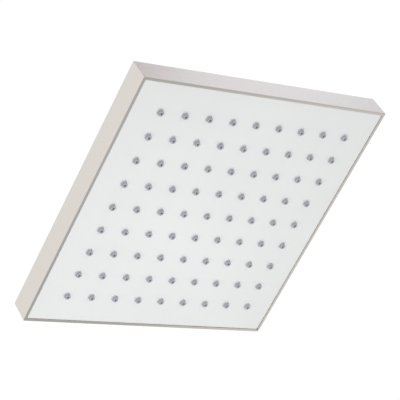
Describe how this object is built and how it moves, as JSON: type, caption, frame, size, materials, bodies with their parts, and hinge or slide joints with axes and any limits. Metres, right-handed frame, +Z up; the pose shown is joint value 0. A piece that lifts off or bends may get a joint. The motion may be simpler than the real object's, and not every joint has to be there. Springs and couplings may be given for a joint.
{
  "type": "shower head",
  "caption": "Square rain shower head: shallow brushed-metal tray, white spray face with a grid of soft nozzles, and a swivel ball inlet with a female pipe thread on its back.",
  "frame": {"origin": "centre of the inlet's open mouth, on the axis of its pipe thread", "axes": "+Z up the inlet's axis and out of its mouth, so the spray face looks down -Z; X and Y run along the tray's sides"},
  "size_m": [0.2, 0.2, 0.0616],
  "materials": {
    "brushed_tray": "brushed nickel on stainless sheet",
    "brushed_fitting": "brushed nickel plating on brass",
    "white_face": "white moulded plastic, satin gloss",
    "nozzle_silicone": "grey silicone, slightly translucent",
    "chamber_plastic": "natural moulded plastic",
    "ring_plastic": "white bearing plastic",
    "restrictor_plastic": "moulded plastic",
    "black_seal": "black rubber",
    "screw_steel": "plain stainless steel",
    "screen_steel": "thin stainless steel",
    "bare_brass": "bare turned brass"
  },
  "bodies": {
    "inlet": {"ball_nut": "brushed_fitting", "inlet_washer": "black_seal", "filter_screen": "screen_steel", "flow_restrictor": "restrictor_plastic", "restrictor_seal": "black_seal"},
    "seat": {"ball_seat": "black_seal", "collar_ring": "ring_plastic"},
    "head": {"tray": "brushed_tray", "face_plate": "white_face", "nozzle_mat": "nozzle_silicone", "chamber_cover": "chamber_plastic", "chamber_seal": "black_seal", "chamber_screws": "screw_steel", "hub_insert": "bare_brass", "spigot_seal": "black_seal", "inlet_boss": "brushed_fitting", "boss_gasket": "black_seal", "ball_collar": "brushed_fitting"}
  },
  "joints": [
    {"name": "head_tilt", "type": "hinge", "parent": "inlet", "child": "seat", "pos_m": [0, 0, -0.02812], "axis": [1, 0, 0], "range_deg": [-15, 15]},
    {"name": "head_spin", "type": "hinge", "parent": "seat", "child": "head", "pos_m": [0, 0, -0.02812], "axis": [0, 0, 1], "continuous": true}
  ]
}
